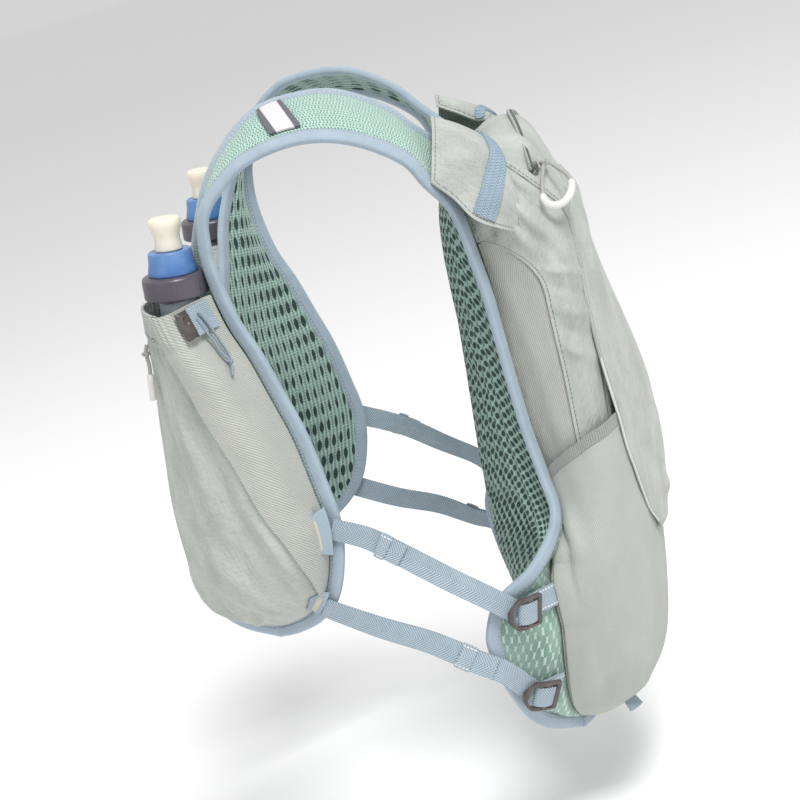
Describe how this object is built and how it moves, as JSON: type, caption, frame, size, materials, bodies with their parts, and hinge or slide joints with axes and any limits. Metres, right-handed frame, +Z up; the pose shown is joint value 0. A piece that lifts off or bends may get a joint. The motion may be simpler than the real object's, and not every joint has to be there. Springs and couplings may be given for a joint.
{
  "type": "running hydration vest",
  "caption": "Mesh running vest with soft flasks in front pockets, a cloth pack on the back and webbing side straps in ladder locks.",
  "frame": {"origin": "where the straps sit on the shoulders, on the vest's mid-plane", "axes": "+Z up the wearer, -Y to the wearer's front, +X to the wearer's left"},
  "size_m": [0.2948, 0.3435, 0.493],
  "materials": {
    "mesh": "coarse spacer mesh, matt",
    "tape": "folded binding tape, fine ribs",
    "ripstop": "light ripstop cloth, soft sheen",
    "stretch": "diagonal stretch twill",
    "knit": "fine stretch knit",
    "webbing": "herringbone webbing",
    "label": "satin label band on grey webbing",
    "flask_film": "soft clear film",
    "flask_collar": "translucent blue",
    "flask_cap": "moulded, fine grip ribs",
    "bite_valve": "soft cream silicone",
    "buckle": "moulded, satin",
    "pull": "pale cord with a moulded end"
  },
  "bodies": {
    "root": {"back_panel": "mesh", "harness_panel_left": "mesh", "harness_panel_right": "mesh", "armhole_binding_left": "tape", "armhole_binding_right": "tape", "neck_binding_left": "tape", "neck_binding_right": "tape", "hem_binding": "tape", "patch_upper_left": "tape", "patch_upper_right": "tape", "patch_lower_left": "tape", "patch_lower_right": "tape", "drawcord_left": "tape", "drawcord_right": "tape", "front_pocket_left": "ripstop", "front_pocket_right": "ripstop", "pack_body": "ripstop", "rear_panel": "ripstop", "strap_sleeve_left": "ripstop", "strap_sleeve_right": "ripstop", "pocket_side_left": "stretch", "pocket_side_right": "stretch", "side_stretch_left": "stretch", "side_stretch_right": "stretch", "side_pocket_left": "knit", "side_pocket_right": "knit", "strap_upper_left": "webbing", "strap_upper_right": "webbing", "strap_lower_left": "webbing", "strap_lower_right": "webbing", "keeper_upper_left": "webbing", "keeper_upper_right": "webbing", "keeper_lower_left": "webbing", "keeper_lower_right": "webbing", "anchor_upper_left": "webbing", "anchor_upper_right": "webbing", "anchor_lower_left": "webbing", "anchor_lower_right": "webbing", "hem_tab": "webbing", "pack_zip": "webbing", "sternum_strap": "webbing", "shoulder_label_left": "label", "shoulder_label_right": "label", "flask_body_left": "flask_film", "flask_body_right": "flask_film", "flask_collar_left": "flask_collar", "flask_collar_right": "flask_collar", "flask_cap_left": "flask_cap", "flask_cap_right": "flask_cap", "bite_valve_left": "bite_valve", "bite_valve_right": "bite_valve", "buckle_upper_left": "buckle", "buckle_upper_right": "buckle", "buckle_lower_left": "buckle", "buckle_lower_right": "buckle", "cord_lock_left": "buckle", "cord_lock_right": "buckle", "pack_pull": "pull", "pocket_pull_left": "pull", "pocket_pull_right": "pull"}
  },
  "joints": []
}
